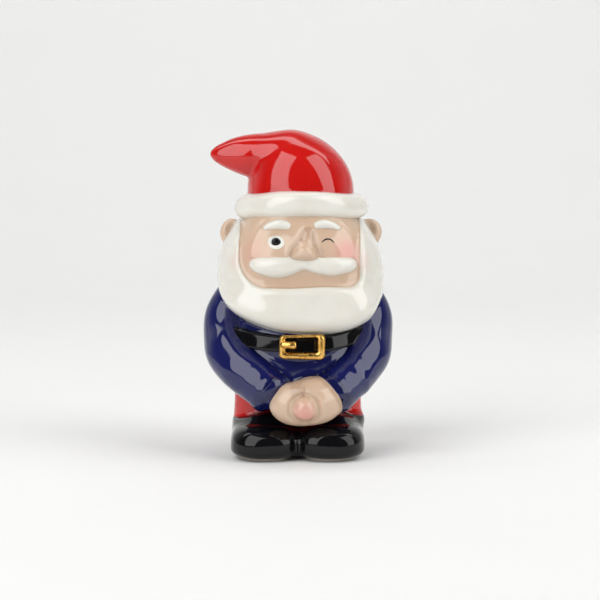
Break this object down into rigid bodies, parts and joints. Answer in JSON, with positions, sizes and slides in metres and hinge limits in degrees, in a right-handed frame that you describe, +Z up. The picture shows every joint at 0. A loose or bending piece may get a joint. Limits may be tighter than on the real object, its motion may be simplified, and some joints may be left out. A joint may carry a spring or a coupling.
{
  "type": "garden gnome",
  "caption": "Glazed ceramic garden gnome with clasped hands, folded pointed cap, full beard, belt and buckle, standing on a flat unglazed foot.",
  "frame": {"origin": "centre of the flat foot, on the surface that the figure stands on, under the axis of its cast shells", "axes": "+Z up through the figure, -Y the way it faces, +X towards its left hand"},
  "size_m": [0.0702, 0.0639, 0.12],
  "materials": {
    "flesh_glaze": "gloss clear glaze over a pale peach underglaze",
    "rosy_glaze": "gloss clear glaze over a rosy underglaze",
    "white_glaze": "gloss warm white glaze",
    "red_glaze": "high gloss red glaze",
    "navy_glaze": "high gloss cobalt navy glaze",
    "black_glaze": "high gloss black glaze",
    "gold_lustre": "fired gold lustre over glaze",
    "bare_clay": "bare earthenware, wiped clear of glaze"
  },
  "bodies": {
    "root": {"base_plate": "bare_clay", "boot_left": "black_glaze", "boot_right": "black_glaze", "trousers": "red_glaze", "coat": "navy_glaze", "belt": "black_glaze", "buckle_frame": "gold_lustre", "buckle_tongue": "gold_lustre", "sleeve_left": "navy_glaze", "sleeve_right": "navy_glaze", "cuff_left": "navy_glaze", "cuff_right": "navy_glaze", "hand_left": "flesh_glaze", "hand_right": "flesh_glaze", "thumb": "rosy_glaze", "head": "flesh_glaze", "beard": "white_glaze", "hair": "white_glaze", "moustache": "white_glaze", "nose": "flesh_glaze", "ear_left": "flesh_glaze", "ear_right": "flesh_glaze", "eyebrow_left": "white_glaze", "eyebrow_right": "white_glaze", "eye_white": "white_glaze", "eye_pupil": "black_glaze", "wink_line": "black_glaze", "hat_brim": "white_glaze", "hat_cap": "red_glaze"}
  },
  "joints": []
}
